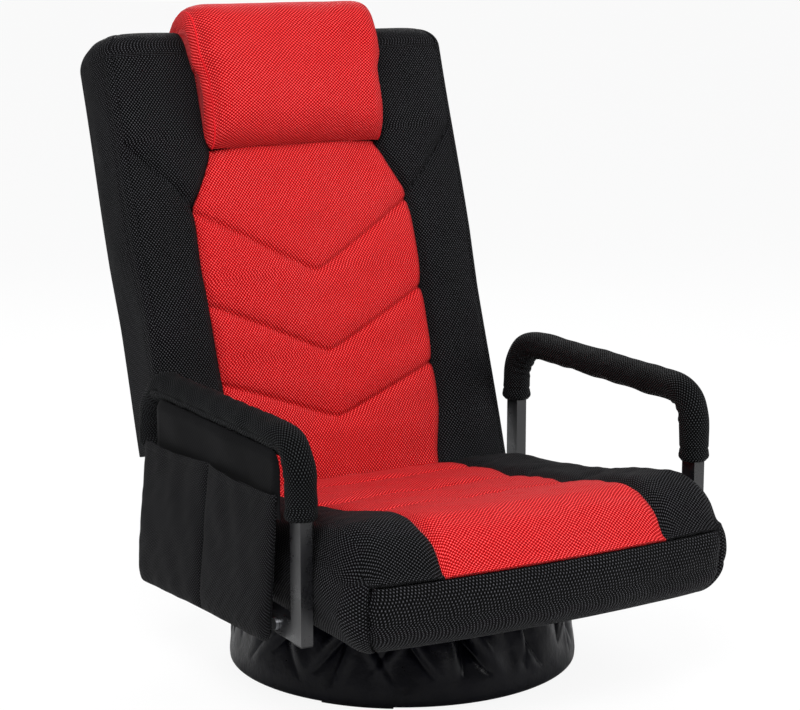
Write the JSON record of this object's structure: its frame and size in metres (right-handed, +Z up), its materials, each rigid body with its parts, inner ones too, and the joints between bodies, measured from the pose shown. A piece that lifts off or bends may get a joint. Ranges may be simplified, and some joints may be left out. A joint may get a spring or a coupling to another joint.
{
  "type": "swivel floor chair",
  "caption": "Low upholstered floor chair with a headrest, padded armrests, a side pocket, a ratchet reclining back and a swivel ring base under a gathered cloth cover.",
  "frame": {"origin": "centre of the base ring on the floor", "axes": "+Z up, the sitter faces -Y, +X to the sitter's left"},
  "size_m": [0.5911, 0.781, 0.8082],
  "materials": {
    "frame_steel": "semi-gloss black powder coat",
    "bright_steel": "zinc plated",
    "cage_nylon": "moulded nylon",
    "pad_rubber": "matte rubber",
    "skirt_cloth": "shiny coated polyester",
    "under_cloth": "non-woven cloth",
    "webbing": "elastic webbing",
    "black_mesh": "black air mesh over foam",
    "red_mesh": "red air mesh over foam",
    "sleeve_mesh": "black mesh sleeve over foam",
    "pocket_cloth": "smooth and mesh black cloth"
  },
  "bodies": {
    "base": {"floor_pads": "pad_rubber", "base_ring": "frame_steel", "base_legs": "frame_steel", "lower_swivel_plate": "bright_steel", "ball_cage": "cage_nylon", "bearing_balls": "bright_steel", "dust_cover": "skirt_cloth", "swivel_rivet": "bright_steel"},
    "seat": {"upper_swivel_plate": "bright_steel", "plate_bolts": "bright_steel", "bottom_cover": "under_cloth", "seat_frame": "frame_steel", "rear_cross_tube": "frame_steel", "seat_webbing": "webbing", "seat_body": "black_mesh", "seat_centre_pad": "red_mesh", "seat_bolster_left": "black_mesh", "seat_bolster_right": "black_mesh", "hinge_bracket_left": "bright_steel", "hinge_bracket_right": "bright_steel", "hinge_pins": "bright_steel", "pawl_pins": "bright_steel", "armrest_frame_left": "frame_steel", "armrest_frame_right": "frame_steel", "armrest_sleeve_left": "sleeve_mesh", "armrest_sleeve_right": "sleeve_mesh", "armrest_spacers": "bright_steel", "armrest_bolts": "bright_steel", "armrest_foot_plates": "pad_rubber", "pocket_panel": "pocket_cloth", "pocket_pouch_front": "pocket_cloth", "pocket_pouch_rear": "pocket_cloth"},
    "backrest": {"ratchet_arm_left": "bright_steel", "ratchet_arm_right": "bright_steel", "back_frame": "frame_steel", "back_webbing": "webbing", "back_body": "black_mesh", "back_centre_pad": "red_mesh", "headrest": "red_mesh", "rear_cover": "under_cloth"},
    "pawl_left": {"pawl_left": "bright_steel"},
    "pawl_right": {"pawl_right": "bright_steel"}
  },
  "joints": [
    {"name": "swivel", "type": "hinge", "parent": "base", "child": "seat", "pos_m": [0, 0, 0.12], "axis": [0, 0, 1], "continuous": true},
    {"name": "recline", "type": "hinge", "parent": "seat", "child": "backrest", "pos_m": [0, 0.1843, 0.17347], "axis": [-1, 0, 0], "range_deg": [-15, 75]},
    {"name": "pawl_left", "type": "hinge", "parent": "seat", "child": "pawl_left", "pos_m": [0.2173, 0.14605, 0.16178], "axis": [-1, 0, 0], "range_deg": [0, 12], "stiffness_Nm_per_rad": 0.2, "springref_deg": -5.73},
    {"name": "pawl_right", "type": "hinge", "parent": "seat", "child": "pawl_right", "pos_m": [-0.2173, 0.14605, 0.16178], "axis": [-1, 0, 0], "range_deg": [0, 12], "stiffness_Nm_per_rad": 0.2, "springref_deg": -5.73}
  ]
}
